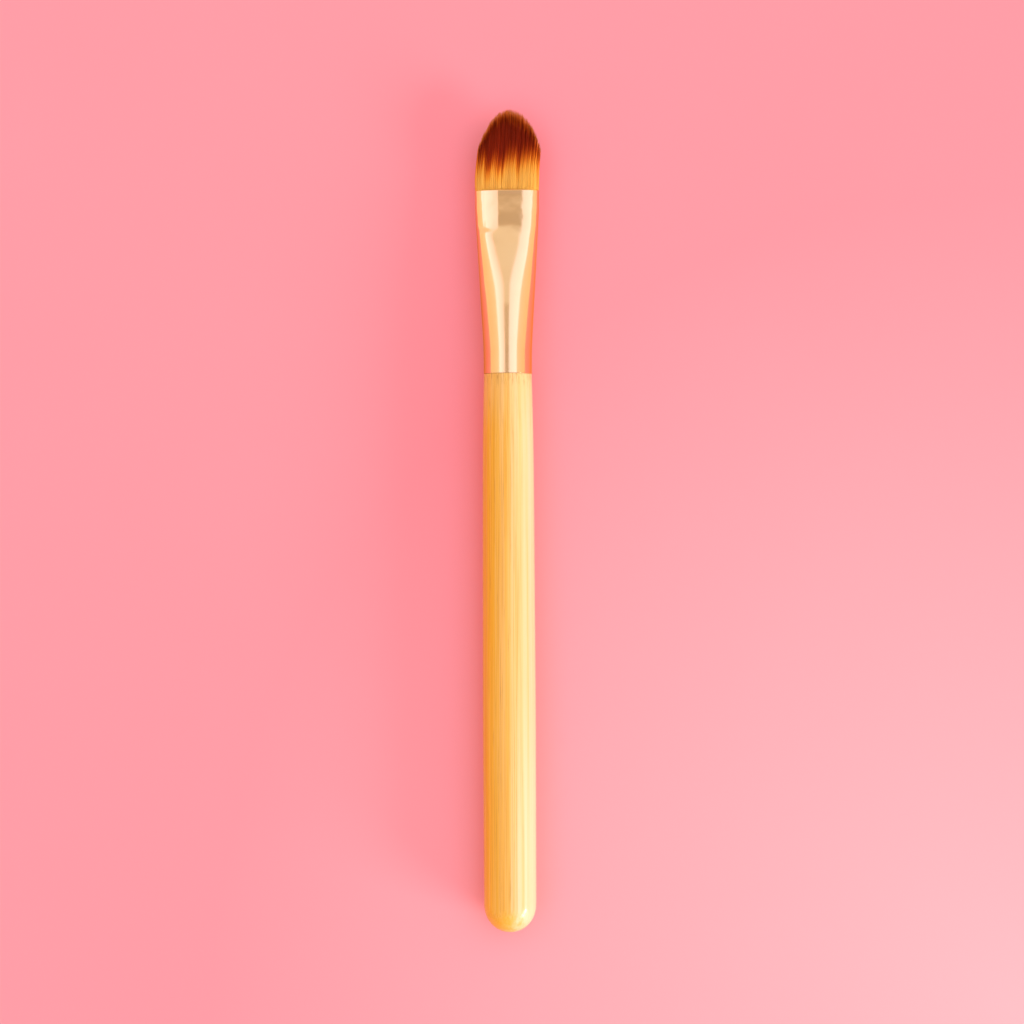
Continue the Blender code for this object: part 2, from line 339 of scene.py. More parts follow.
# %% Press a tube
def press(piece, inset=0.0):
    """Move each ring of a round tube with this many SIDES to the pressed section, this far inside it."""
    tube_rings = {}
    for point in piece.data.vertices:
        tube_rings.setdefault(round(point.co.y / MM, 3), []).append(point)
    for ring in tube_rings.values():
        below_mouth = MOUTH - ring[0].co.y
        wide, thick = section_size(below_mouth)
        section = quarter_section(1 + EXTRA_FLATNESS * fade_out(*FLATNESS_GONE, below_mouth))
        roll = roll_at(below_mouth)
        for point in ring:
            side, top = point.co.x, point.co.z - AXIS
            out = min(math.hypot(side, top) / TUBE_RADIUS, 1.0)
            step = round(QUARTER_STEPS * math.atan2(abs(side), abs(top)) / (math.pi / 2))
            x, z = section[step][0] * (wide - inset) * out, section[step][1] * (thick - inset) * out
            z -= jaw_marks(math.copysign(x, side), below_mouth) * min(z / thick, 1.0)
            x, z = math.copysign(x, side), math.copysign(z, top)
            point.co.x = x * math.cos(roll) + z * math.sin(roll)
            point.co.z = AXIS - x * math.sin(roll) + z * math.cos(roll)
    piece.data.update()
    print(f"{len(tube_rings)} rings pressed")


press(ferrule)

# %% Give it a wall and a rolled lip
LIP_BEVEL, RIM_BEVEL = 0.12 * MM, 0.012 * MM
start_editing()
bpy.ops.mesh.select_all(action="SELECT")
bpy.ops.mesh.normals_make_consistent(inside=False)
bpy.ops.object.mode_set(mode="OBJECT")
outward = sum(face.normal.x * face.center.x for face in ferrule.data.polygons) > 0
print("faces point", "outwards" if outward else "inwards")
wall = ferrule.modifiers.new("wall", "SOLIDIFY")
wall.thickness, wall.offset, wall.use_even_offset = WALL, -1 if outward else 1, True
bpy.ops.object.modifier_apply(modifier="wall")


def is_end_corner(edge, end):
    """Whether the edge lies in the tube's end at this y and turns a corner."""
    at_end = all(abs(vert.co.y - end) < 0.01 * MM for vert in edge.verts)
    return at_end and edge.calc_face_angle(0) > 1


start_editing()
for tube_end, width in ((MOUTH, LIP_BEVEL), (RIM, RIM_BEVEL)):
    select_where(ferrule, "edges", lambda edge: is_end_corner(edge, tube_end))
    bpy.ops.mesh.bevel(offset=width, segments=3)
bpy.ops.object.mode_set(mode="OBJECT")
finish_piece(ferrule, "pressed_ferrule", "ferrule", smooth_angle=35)

# %% [markdown]
# ## Inside the ferrule: bonded roots and resin plug
#
# The filaments' roots are bonded into a slab, and resin is poured behind it. Neither shows, but both must fit
# the bore, so each is a closed round billet that goes through the same press. Its ends are inset and pulled
# in, as resin creeps up a wall when it cures.

# %% Cast a billet in the bore
ROOTS_BELOW_MOUTH = 1.15 * MM
ROOTS_CLEARANCE, PLUG_CLEARANCE = 0.05 * MM, 0.08 * MM
ROOTS_DISH, PLUG_DISH = 0.05 * MM, 0.35 * MM
DISH_STEP, DISH_SHARES = 0.8 * MM, (0.4, 0.6)
BILLET_BANDS = 10


def is_end_face(face, end):
    return abs(face.normal.y) > 0.9 and abs(face.calc_center_median().y - end) < 0.1 * MM


def cast_billet(low, high, inset, dish):
    """A billet of the bore's shape, from low to high, with ends dished this deep."""
    bpy.ops.object.select_all(action="DESELECT")
    bpy.ops.mesh.primitive_cylinder_add(
        vertices=SIDES, radius=TUBE_RADIUS, depth=high - low,
        location=(0, (low + high) / 2, AXIS), rotation=LYING
    )
    billet = bpy.context.object
    bpy.ops.object.transform_apply(location=True, rotation=True, scale=True)
    start_editing()
    select_where(billet, "edges", lambda edge: length_along_y(edge) > 0.9 * (high - low))
    bpy.ops.mesh.subdivide(number_cuts=BILLET_BANDS - 1)
    for end, into in ((low, dish), (high, -dish)):
        select_where(billet, "faces", lambda face: is_end_face(face, end))
        for share in DISH_SHARES:
            bpy.ops.mesh.inset(thickness=DISH_STEP)
            bpy.ops.transform.translate(value=(0, into * share, 0))
    bpy.ops.object.mode_set(mode="OBJECT")
    press(billet, inset)
    return billet


roots_slab = cast_billet(tuft_low.y, MOUTH - ROOTS_BELOW_MOUTH, WALL + ROOTS_CLEARANCE, ROOTS_DISH)
finish_piece(roots_slab, "bonded_roots", "filament_tuft")
plug = cast_billet(plug_low.y, plug_high.y, WALL + PLUG_CLEARANCE, PLUG_DISH)
finish_piece(plug, "resin_plug", "root_plug")

# %% [markdown]
# ## Tuft
#
# The real tuft is some thousands of synthetic filaments, each about a tenth of a millimetre thick and drawn
# to a fine point. They spread a little as they leave the mouth, thin towards the tips, and are cut to a dome.
#
# Hair curves or particles would look right too, but they are not a mesh that another program can open. So
# one filament is modelled as a thin three-sided spike, and thousands of copies are bent along their own
# paths. With three sides and a few bands, a copy has 22 faces, and the whole tuft stays light.

# %% Model one filament
# Each band is (share of the length where it ends, share of the radius there)
FILAMENT_BANDS = [(0.07, 1.0), (0.15, 1.0), (0.34, 1.0), (0.54, 0.95), (0.72, 0.8), (0.87, 0.5)]
bpy.ops.object.select_all(action="DESELECT")
bpy.ops.mesh.primitive_circle_add(vertices=3, radius=1, fill_type="NGON", location=(0, 0, 0), rotation=LYING)
filament = bpy.context.object
start_editing()
bpy.ops.mesh.select_mode(type="FACE")
bpy.ops.mesh.select_all(action="SELECT")
end, radius = 0.0, 1.0
for next_end, next_radius in FILAMENT_BANDS:
    extrude_along(next_end - end)
    scale = next_radius / radius
    bpy.ops.transform.resize(value=(scale, 1, scale), center_override=(0, next_end, 0))
    end, radius = next_end, next_radius
extrude_along(1 - end)
close_and_leave()
bpy.ops.object.transform_apply(location=True, rotation=True, scale=True)
print(f"one filament: {len(filament.data.vertices)} points, {len(filament.data.polygons)} faces")

# %% [markdown]
# ## How each filament grows
#
# A filament is placed by its share of the way across the mouth and through its thickness, each from -1 to 1.
# Its length comes from the dome. On its way up it follows the fan, leans with the others, and is drawn
# towards the middle of its lock, because real filaments cling together in small locks and end in little
# points.

# %% Root the filaments in the mouth
ROOTED = 1.2 * MM  # how deep in the mouth each filament starts
FILAMENT_RADIUS = 0.071 * MM
ROOT_PITCH, ROW_SHARE, ROOT_JITTER = 0.0935 * MM, 0.866, 0.3
BORE_WIDE, BORE_THICK = 5.42 * MM, 1.42 * MM
LOCKS, LOCK_DROP = 190, 0.36
chance = random.Random(23)


def inside_bore(x, z):
    return math.hypot(max(abs(x) - (BORE_WIDE - BORE_THICK), 0), z) < BORE_THICK


roots = []
rows, columns = int(BORE_THICK / (ROOT_PITCH * ROW_SHARE)) + 1, int(BORE_WIDE / ROOT_PITCH) + 1
for row in range(-rows, rows + 1):
    for column in range(-columns, columns + 1):
        x = (column + (row % 2) / 2 + chance.uniform(-ROOT_JITTER, ROOT_JITTER)) * ROOT_PITCH
        z = (row + chance.uniform(-ROOT_JITTER, ROOT_JITTER)) * ROOT_PITCH * ROW_SHARE
        if inside_bore(x, z):
            roots.append((x / BORE_WIDE, z / BORE_THICK))
locks = []
for _ in range(LOCKS):
    locks.append((chance.uniform(-1, 1), chance.uniform(-1, 1), abs(chance.gauss(0, LOCK_DROP)) * MM))
print(f"{len(roots)} filaments in {len(locks)} locks")

# %% Write a filament's path
FAN_WIDE, FAN_WIDE_COMES = 5.87 * MM, (-0.8 * MM, 0.5 * MM)
FAN_THICK, FAN_THICK_COMES = 1.76 * MM, (0, 2.4 * MM)
DRAWN_IN, DRAWN_IN_COMES = 0.07 * MM, (0.6 * MM, 3.0 * MM)
WEDGE, WEDGE_COMES = 0.62, (0, 1.25)  # these two are shares, of the thickness and of the tuft's length
LEAN, LEAN_COMES = 0.60 * MM, (1.5 * MM, 10.5 * MM)
TUFT_CREASE_GONE, TUFT_ROLL_GONE = (0.4 * MM, 4.0 * MM), (0, 12 * MM)
DOME_HEIGHT, DOME_POWER, DOME_FULLNESS = 7.4 * MM, 2.2, 0.9
DOME_RISE, FACE_DROP = 0.50 * MM, 0.9 * MM


def filament_height(across, through):
    """How far above the mouth a filament ends: the dome, a little lower near the two faces."""
    crown = max(1 - abs(across) ** DOME_POWER, 0.0) ** DOME_FULLNESS
    dome = TUFT_LENGTH - DOME_HEIGHT * (1 - crown)
    return dome + DOME_RISE - FACE_DROP * abs(through) ** 3


def on_path(across, through, height):
    """Where a filament of these shares is at this height above the mouth: (x, z) from the axis."""
    wide = BORE_WIDE + (FAN_WIDE - BORE_WIDE) * smooth_step(*FAN_WIDE_COMES, height)
    wide -= DRAWN_IN * smooth_step(*DRAWN_IN_COMES, height)
    thick = BORE_THICK + (FAN_THICK - BORE_THICK) * smooth_step(*FAN_THICK_COMES, height)
    thick *= 1 - WEDGE * smooth_step(*WEDGE_COMES, max(height, 0) / TUFT_LENGTH)
    x, z = across * wide, through * thick
    z -= jaw_marks(x, 0) * max(through, 0) * fade_out(*TUFT_CREASE_GONE, height)
    roll = COLLAR_ROLL * fade_out(*TUFT_ROLL_GONE, height)
    lean = LEAN * smooth_step(*LEAN_COMES, height)
    return x * math.cos(roll) + z * math.sin(roll) + lean, -x * math.sin(roll) + z * math.cos(roll)


# %% [markdown]
# The ends of the filaments differ: each lock stops a little lower or higher, and each filament has its own
# small drop. A few filaments stray further. Towards the left the ends lie closer to the dome.
#
# The tuft gets its own UV map: U runs across the tuft and V along the filaments, so a pattern that reads it
# follows the filaments wherever they bend. Each face of a filament takes a sliver of the map, so that none
# is folded to a line, and a margin is left free at each edge.

# %% Grow the tuft
LOCK_NARROWNESS, CLING = 12, (0.15, 0.45)
STRAY_SHARE, FINE_STRAY, WILD_STRAY, STRAY_THROUGH = 0.015, 0.035, 0.2, 0.4
OWN_DROP, OFF_LOCK_DROP = 0.26, 0.9
LEAST_LOOSE, LOOSE_COMES = 0.5, (-0.6, 0.3)
UV_LOW, UV_HIGH = 0.02, 0.98
UV_SPAN = UV_HIGH - UV_LOW
SIDE_SLIVER, END_SLIVER = 0.004, 0.002
template_points = [tuple(vert.co) for vert in filament.data.vertices]
template_faces = [tuple(face.vertices) for face in filament.data.polygons]
points, faces, loop_uvs = [], [], []
for across, through in roots:
    lock = min(locks, key=lambda lock: (lock[0] - across) ** 2 * LOCK_NARROWNESS + (lock[1] - through) ** 2)
    cling = chance.uniform(*CLING)
    off_lock = math.hypot((lock[0] - across) * BORE_WIDE, (lock[1] - through) * BORE_THICK)
    spread = FINE_STRAY if chance.random() > STRAY_SHARE else WILD_STRAY
    stray = chance.gauss(0, spread) * MM
    loose = LEAST_LOOSE + (1 - LEAST_LOOSE) * smooth_step(*LOOSE_COMES, across)
    drop = lock[2] + OFF_LOCK_DROP * off_lock + abs(chance.gauss(0, OWN_DROP)) * MM
    height = filament_height(across, through) - drop * loose
    turn = chance.uniform(0, 2 * math.pi)
    first = len(points)
    for u, share, v in template_points:
        rise = -ROOTED + share * (height + ROOTED)
        pull = cling * share**2
        x, z = on_path(across + (lock[0] - across) * pull, through + (lock[1] - through) * pull, rise)
        x += stray * share**2 + FILAMENT_RADIUS * (u * math.cos(turn) - v * math.sin(turn))
        z += STRAY_THROUGH * stray * share**2 + FILAMENT_RADIUS * (u * math.sin(turn) + v * math.cos(turn))
        points.append((x, MOUTH + rise, AXIS + z))
    for face in template_faces:
        faces.append(tuple(first + index for index in face))
        middle = [sum(template_points[index][axis] for index in face) for axis in (0, 2)]
        for index in face:
            u, share, v = template_points[index]
            side = SIDE_SLIVER * (u * middle[1] - v * middle[0]) if len(face) == 4 else END_SLIVER * u
            rise = share * (height + ROOTED) / (TUFT_LENGTH + ROOTED)
            loop_uvs.extend((UV_LOW + UV_SPAN * (across + 1) / 2 + side, UV_LOW + UV_SPAN * rise))
bpy.data.objects.remove(filament)
print(f"{len(points)} points, {len(faces)} faces")

# %% [markdown]
# The map has the name that the export looks for when it bakes the colours.

# %% Make the tuft's mesh
tuft_mesh = bpy.data.meshes.new("combed_tuft")
tuft_mesh.from_pydata(points, [], faces)
uv_map = tuft_mesh.uv_layers.new(name="OFBake")
uv_map.data.foreach_set("uv", loop_uvs)
tuft_mesh.validate()
tuft = bpy.data.objects.new("combed_tuft", tuft_mesh)
bpy.context.collection.objects.link(tuft)
bpy.ops.object.select_all(action="DESELECT")
tuft.select_set(True)
bpy.context.view_layer.objects.active = tuft
finish_piece(tuft, "combed_tuft", "filament_tuft", smooth_angle=180)

# %% [markdown]
# ## Materials: a few helpers
#
# A material is a small network of nodes. These helpers add a node with its settings and join two sockets, so
# that each material below reads as a list of steps. A colour is written in linear light, as Blender's sockets
# want it.


# %% Add and join nodes
def add_node(tree, kind, inputs=None, **settings):
    node = tree.nodes.new(kind)
    for name, value in settings.items():
        setattr(node, name, value)
    for name, value in (inputs or {}).items():
        if isinstance(value, bpy.types.NodeSocket):
            tree.links.new(value, node.inputs[name])
        else:
            node.inputs[name].default_value = value
    return node


def new_material(name, **principled):
    """A material with its Principled BSDF, on which constants are set straight on the sockets."""
    material = bpy.data.materials.new(name)
    material.use_nodes = True
    shader = material.node_tree.nodes["Principled BSDF"]
    for socket, value in principled.items():
        shader.inputs[socket.replace("_", " ")].default_value = value
    return material, material.node_tree, shader


def connect(tree, shader, **sources):
    """Link each source to the shader's socket of that name."""
    for socket, source in sources.items():
        tree.links.new(source, shader.inputs[socket.replace("_", " ")])


def bump(tree, shader, height, distance):
    node = add_node(tree, "ShaderNodeBump", {"Height": height, "Distance": distance, "Strength": 1.0})
    tree.links.new(node.outputs[0], shader.inputs["Normal"])


# %% Places and patterns
def object_place(tree):
    return add_node(tree, "ShaderNodeTexCoord").outputs["Object"]


def axes_of(tree, vector):
    """The three outputs of a vector, by the names X, Y and Z."""
    return add_node(tree, "ShaderNodeSeparateXYZ", {0: vector}).outputs


def vector_node(tree, operation, *values):
    return add_node(tree, "ShaderNodeVectorMath", dict(enumerate(values)), operation=operation).outputs


def noise(tree, vector, scale, detail=2.0, roughness=0.5):
    inputs = {"Vector": vector, "Scale": scale, "Detail": detail, "Roughness": roughness}
    return add_node(tree, "ShaderNodeTexNoise", inputs).outputs["Fac"]


def cell_distance(tree, vector, scale):
    return add_node(tree, "ShaderNodeTexVoronoi", {"Vector": vector, "Scale": scale}).outputs["Distance"]


# %% Sums, products and colours
def math_node(tree, operation, *values, clamp=False):
    inputs = dict(enumerate(values))
    return add_node(tree, "ShaderNodeMath", inputs, operation=operation, use_clamp=clamp).outputs[0]


def plus(tree, first, second):
    return math_node(tree, "ADD", first, second)


def minus(tree, first, second):
    return math_node(tree, "SUBTRACT", first, second)


def times(tree, first, second):
    return math_node(tree, "MULTIPLY", first, second)


def remap(tree, value, low, high, to_low=0.0, to_high=1.0, smooth=True):
    inputs = {0: value, 1: low, 2: high, 3: to_low, 4: to_high}
    kind = "SMOOTHSTEP" if smooth else "LINEAR"
    return add_node(tree, "ShaderNodeMapRange", inputs, interpolation_type=kind).outputs[0]


def mix_colors(tree, share, first, second):
    """From the first colour to the second; a colour is a socket or three numbers."""
    node = add_node(tree, "ShaderNodeMix", data_type="RGBA", blend_type="MIX")
    for socket, value in ((0, share), (6, first), (7, second)):
        if isinstance(value, bpy.types.NodeSocket):
            tree.links.new(value, node.inputs[socket])
        else:
            node.inputs[socket].default_value = (*value, 1)
    return node.outputs[2]


def ramp(tree, value, stops):
    node = add_node(tree, "ShaderNodeValToRGB", {0: value})
    while len(node.color_ramp.elements) < len(stops):
        node.color_ramp.elements.new(0.5)
    for element, (place, color) in zip(node.color_ramp.elements, stops):
        element.position, element.color = place, (*color, 1)
    return node.outputs[0]


# %% [markdown]
# ## Shared effect: streaks that run along the brush
#
# Bamboo fibres, the drawing lines on the aluminium and the flow lines in the resin are all long, thin streaks
# along +Y. A noise pattern is squeezed across and stretched along to make them. As three materials use it, it
# is a node group, and each material gives its own width, length and contrast.

# %% Build the streaks group
STREAK_INPUTS = {"Across": 4000.0, "Along": 60.0, "Shift": 0.0, "Low": 0.35, "High": 0.65}
streaks = bpy.data.node_groups.new("long_streaks", "ShaderNodeTree")
for name, value in STREAK_INPUTS.items():
    socket = streaks.interface.new_socket(name, in_out="INPUT", socket_type="NodeSocketFloat")
    socket.default_value = value
streaks.interface.new_socket("Mask", in_out="OUTPUT", socket_type="NodeSocketFloat")
given = add_node(streaks, "NodeGroupInput").outputs
per_axis = {"X": given["Across"], "Y": given["Along"], "Z": given["Across"]}
stretch = add_node(streaks, "ShaderNodeCombineXYZ", per_axis).outputs[0]
stretched = vector_node(streaks, "MULTIPLY", object_place(streaks), stretch)[0]
moved = vector_node(streaks, "ADD", stretched, given["Shift"])[0]
pattern = noise(streaks, moved, 1.0, detail=3.0, roughness=0.55)
mask = remap(streaks, pattern, given["Low"], given["High"], smooth=False)
add_node(streaks, "NodeGroupOutput", {"Mask": mask})
print("streaks group:", [item.name for item in streaks.interface.items_tree])


# %% Use the streaks group
def streak_mask(tree, width, length, shift=0.0, low=0.35, high=0.65):
    """Streaks of about this width and length, in metres."""
    inputs = {"Across": 1 / width, "Along": 1 / length, "Shift": shift, "Low": low, "High": high}
    return add_node(tree, "ShaderNodeGroup", inputs, node_tree=streaks).outputs["Mask"]


# %% [markdown]
# ## Bamboo
#
# Bamboo is made of fibres that all run one way. They are packed tight and brown-orange at the outside of the
# stem and thin out to pale straw inside, so a rod turned from the stem is darker along one side. Here the
# dark side is on the left, and the pale right side is partly painted light from the right. Short brown
# dashes are the bundles that carried water, cut at a slant where the turner went in deeper. Over it all is a
# clear satin lacquer.
#
# The pattern is made in three dimensions, from the place in the rod, so it needs no UV map, it runs over the
# butt as end grain, and it never shows a seam. Colour goes first by the place across the stem's wall, with
# the painted light on the right side, then the streaks.

# %% Bamboo: colour across the stem's wall, and painted light on its right side
# How fast the colour goes through the stem's wall and the painted light, per metre across and per metre up
WALL_AND_LIGHT_ACROSS, WALL_AND_LIGHT_UP = 205.0, 25.0
WALL_AND_LIGHT_SPAN, WANDER = (-1.1, 1.25), 0.20
bamboo, tree, shader = new_material(
    "lacquered_bamboo", IOR=1.45, Specular_IOR_Level=0.2, Coat_Weight=0.6, Coat_Roughness=0.18
)
centred = {"Vector": object_place(tree), "Location": (0, 0, -AXIS)}
in_rod = axes_of(tree, add_node(tree, "ShaderNodeMapping", centred).outputs[0])
across_wall_and_light = plus(tree, times(tree, in_rod["X"], WALL_AND_LIGHT_ACROSS), times(tree, in_rod["Z"], WALL_AND_LIGHT_UP))
broad = streak_mask(tree, 0.9 * MM, 110 * MM, shift=3.0, low=0.3, high=0.7)
wander = times(tree, minus(tree, broad, 0.5), WANDER)
wall_and_light_place = plus(tree, remap(tree, across_wall_and_light, *WALL_AND_LIGHT_SPAN, smooth=False), wander)
# Orange on the left, paler to the right: the stem's wall, and painted light on the right side
wall_and_light_color = ramp(tree, wall_and_light_place, [
    (0.00, (0.80, 0.320, 0.004)),
    (0.22, (0.82, 0.400, 0.012)),
    (0.42, (0.84, 0.445, 0.048)),
    (0.56, (0.84, 0.520, 0.140)),
    (0.72, (0.84, 0.590, 0.260)),
    (0.95, (0.84, 0.610, 0.350)),
])

# %% Bamboo: long bands, fibres and cut bundles
off_butt = remap(tree, in_rod["Y"], BUTT_END + 1.5 * MM, BUTT_START, 0.25, 1.0)
outer_side = times(tree, off_butt, remap(tree, wall_and_light_place, 0.50, 0.80, 1.0, 0.15))
middle = times(tree, off_butt, remap(tree, wall_and_light_place, 0.70, 0.95, 1.0, 0.15))


def lay_in(color, mask, over, share, new_color):
    """Mix a new colour in where both masks are, as strongly as this share."""
    return mix_colors(tree, times(tree, times(tree, mask, over), share), color, new_color)


mustard = streak_mask(tree, 0.42 * MM, 130 * MM, shift=7.0, low=0.56, high=0.66)
color = lay_in(wall_and_light_color, mustard, middle, 0.5, (0.74, 0.40, 0.028))
pale = streak_mask(tree, 0.65 * MM, 100 * MM, shift=19.0, low=0.52, high=0.70)
color = lay_in(color, pale, middle, 0.28, (0.84, 0.56, 0.230))
light = streak_mask(tree, 0.28 * MM, 60 * MM, shift=37.0, low=0.54, high=0.66)
color = lay_in(color, light, outer_side, 0.45, (0.90, 0.56, 0.160))
fine = streak_mask(tree, 0.20 * MM, 38 * MM, shift=11.0, low=0.48, high=0.68)
color = lay_in(color, fine, outer_side, 0.6, (0.62, 0.28, 0.012))
bundles = streak_mask(tree, 0.15 * MM, 9.0 * MM, shift=29.0, low=0.62, high=0.70)
color = lay_in(color, bundles, outer_side, 0.45, (0.36, 0.16, 0.020))

# %% Bamboo: pale pith and painted window light by the butt, wear and cut ends by the shoulder
pith_and_window_light = remap(tree, in_rod["Y"], -26 * MM, -62 * MM)
# Paler on the right towards the butt: pale pith, and painted light from the window at the lower right
color = lay_in(color, pith_and_window_light, remap(tree, wall_and_light_place, 0.50, 0.80), 0.45, (0.87, 0.74, 0.47))
worn = remap(tree, in_rod["Y"], SHOULDER - 12 * MM, SHOULDER - 1.0 * MM)
color = mix_colors(tree, times(tree, worn, 0.35), color, (0.84, 0.54, 0.190))
near_shoulder = remap(tree, in_rod["Y"], SHOULDER - 3.2 * MM, SHOULDER - 0.4 * MM)
cut_ends = streak_mask(tree, 0.20 * MM, 2.2 * MM, shift=53.0, low=0.50, high=0.62)
color = lay_in(color, cut_ends, near_shoulder, 0.55, (0.42, 0.20, 0.030))

# %% Bamboo: lacquer
LACQUER_ROUGHNESS, FIBRES_ADD, FIBRE_DEPTH = 0.40, 0.12, 0.012 * MM
satin = plus(tree, LACQUER_ROUGHNESS, times(tree, fine, FIBRES_ADD))
connect(tree, shader, Base_Color=color, Roughness=satin)
bump(tree, shader, minus(tree, 1.0, times(tree, plus(tree, fine, bundles), 0.5)), FIBRE_DEPTH)
handle.data.materials.append(bamboo)

# %% [markdown]
# ## Gold anodised aluminium
#
# The ferrule is polished, then dyed gold in the anodising bath. A metal's colour is its reflection's colour,
# so the base colour is the gold, and the specular tint is what it mirrors where it is seen at a slant. The
# rest is roughness: smooth enough to show the soft boxes as clear bands, with faint drawing lines along the
# tube and a handled look in patches. The jaws left the collar smoothest, but a little dented.

# %% Gold: colour, lines and handling marks
POLISHED, OFF_COLLAR_ADDS, LINES_ADD, PATCHES_ADD = 0.07, 0.04, 0.03, 0.06
gold, tree, shader = new_material(
    "gold_anodised_aluminium", Metallic=1.0, Specular_Tint=(0.78, 0.95, 0.22, 1)
)
lines = streak_mask(tree, 0.10 * MM, 9 * MM, shift=5.0, low=0.3, high=0.7)
place = object_place(tree)
along = axes_of(tree, place)["Y"]
patches = noise(tree, place, 260.0)
color = mix_colors(tree, patches, (0.95, 0.63, 0.32), (0.96, 0.67, 0.36))
handled = plus(tree, times(tree, lines, LINES_ADD), times(tree, patches, PATCHES_ADD))
off_collar = remap(tree, along, MOUTH - 20 * MM, MOUTH - 7 * MM, 1.0, 0.0)
rough = plus(tree, plus(tree, POLISHED, times(tree, off_collar, OFF_COLLAR_ADDS)), handled)
connect(tree, shader, Base_Color=color, Roughness=rough)

# %% Gold: dents on the collar
DENT_DEPTH, LINES_SHARE = 0.05 * MM, 0.02
on_collar = remap(tree, along, MOUTH - 12 * MM, MOUTH - 6 * MM)
dents = times(tree, noise(tree, place, 480.0, detail=1.0, roughness=0.4), on_collar)
bump(tree, shader, plus(tree, times(tree, lines, LINES_SHARE), dents), DENT_DEPTH)
ferrule.data.materials.append(gold)

# %% [markdown]
# ## Dyed filaments
#
# Synthetic filaments are golden, and their upper half is dipped in dark red-brown dye. The dye creeps down
# some filaments further than others, so the border is ragged, with dark tails. The last bit of each point is
# so thin that light passes through it, and it looks orange again: that glow is painted light, put in the
# colour through red-brown to orange, and a painted orange rim of light runs along both sides of the tuft.
# Everything is read from the tuft's own UV map, and its heights are in millimetres above the mouth.

# %% Filaments: where the dye ends
# Each stop is (place across the map, how much less far the dye creeps down there)
DYE_CREEP = [
    (0.02, 0.38), (0.13, 0.48), (0.20, 0.14), (0.27, 0.36), (0.33, 0.34), (0.375, 0.12), (0.43, 0.42),
    (0.55, 0.58), (0.635, 0.44), (0.665, 0.28), (0.70, 0.50), (0.90, 0.62), (0.98, 0.50),
]
LOWEST_DYE, CREEP_RANGE = 2.3, 6.1
LOCKS_RANGE, SINGLE_RANGE = 3.0, 5.0
DYE_BLEND = 3.2
dyed, tree, shader = new_material("dyed_filament", Roughness=0.4, IOR=1.5, Specular_IOR_Level=0.05)
uv = add_node(tree, "ShaderNodeUVMap", uv_map="OFBake").outputs[0]
on_map = axes_of(tree, uv)
across = remap(tree, on_map["X"], UV_LOW, UV_HIGH, -1.0, 1.0, smooth=False)
rise = remap(tree, on_map["Y"], UV_LOW, UV_HIGH, -ROOTED / MM, TUFT_LENGTH / MM, smooth=False)


def filament_noise(columns, rows, seed, detail=2.0):
    stretched = vector_node(tree, "MULTIPLY", uv, (columns, rows, 0))[0]
    moved = vector_node(tree, "ADD", stretched, (seed, seed, seed))[0]
    return noise(tree, moved, 1.0, detail)


locks_noise = filament_noise(15.0, 0.4, 3.0)
single_noise = filament_noise(110.0, 1.0, 17.0, detail=1.0)
creep = ramp(tree, on_map["X"], [(place, (grey,) * 3) for place, grey in DYE_CREEP])
dye_line = plus(tree, LOWEST_DYE, times(tree, creep, CREEP_RANGE))
dye_line = plus(tree, dye_line, times(tree, minus(tree, locks_noise, 0.5), LOCKS_RANGE))
dye_line = plus(tree, dye_line, times(tree, minus(tree, single_noise, 0.5), SINGLE_RANGE))
above_line = minus(tree, rise, dye_line)

# %% Filaments: gold and dye
filament_color = ramp(tree, remap(tree, above_line, -DYE_BLEND, DYE_BLEND, smooth=False), [
    (0.00, (0.93, 0.500, 0.088)),
    (0.25, (0.92, 0.405, 0.048)),
    (0.42, (0.80, 0.235, 0.016)),
    (0.58, (0.55, 0.090, 0.005)),
    (0.80, (0.30, 0.025, 0.002)),
    (1.00, (0.215, 0.014, 0.002)),
])

# %% Filaments: painted glow at the tips and edges
TIPS_PAST_DOME, GLOW_LENGTHS = 0.22, (1.0, 3.0)
GLOW_BROWN, GLOW_ORANGE, EDGE_GLOW_ORANGE = (0.70, 0.105, 0.008), (1.0, 0.35, 0.065), (0.95, 0.25, 0.030)
off_middle = math_node(tree, "ABSOLUTE", across)
crown = math_node(tree, "SUBTRACT", 1.0, math_node(tree, "POWER", off_middle, DOME_POWER), clamp=True)
dome = times(tree, math_node(tree, "POWER", crown, DOME_FULLNESS), DOME_HEIGHT / MM)
dome = plus(tree, (TUFT_LENGTH - DOME_HEIGHT) / MM + TIPS_PAST_DOME, dome)
glow_length = remap(tree, single_noise, 0.35, 0.65, *GLOW_LENGTHS, smooth=False)
glow_length = times(tree, glow_length, remap(tree, across, -0.9, 0.3, 0.7, 1.15))
into_glowing_tip = math_node(tree, "DIVIDE", minus(tree, dome, rise), glow_length)
# Painted light: the glow through the thin points, red-brown and then orange towards the tips
color = mix_colors(tree, remap(tree, into_glowing_tip, 0.6, 1.15, 0.9, 0.0), filament_color, GLOW_BROWN)
color = mix_colors(tree, remap(tree, into_glowing_tip, 0.3, 0.75, 1.0, 0.0), color, GLOW_ORANGE)
# Painted light: a lighter orange rim along both sides of the tuft
color = mix_colors(tree, remap(tree, off_middle, 0.90, 1.0, 0.0, 0.5), color, EDGE_GLOW_ORANGE)
shade = remap(tree, single_noise, 0.3, 0.7, 0.83, 1.10, smooth=False)
shaded = add_node(tree, "ShaderNodeVectorMath", {0: color, "Scale": shade}, operation="SCALE")
connect(tree, shader, Base_Color=shaded.outputs[0])
tuft.data.materials.append(dyed)

# %% [markdown]
# ## Bonded roots, resin and glue
#
# All are hidden inside the ferrule, but an exploded view shows them. The bonded roots are golden filaments
# end to end in amber: lines along the sides, dots on the ends. The resin is clear amber with flow lines where
# it ran between the roots; the glue is cream, with the fine bubbles of a squeezed film.

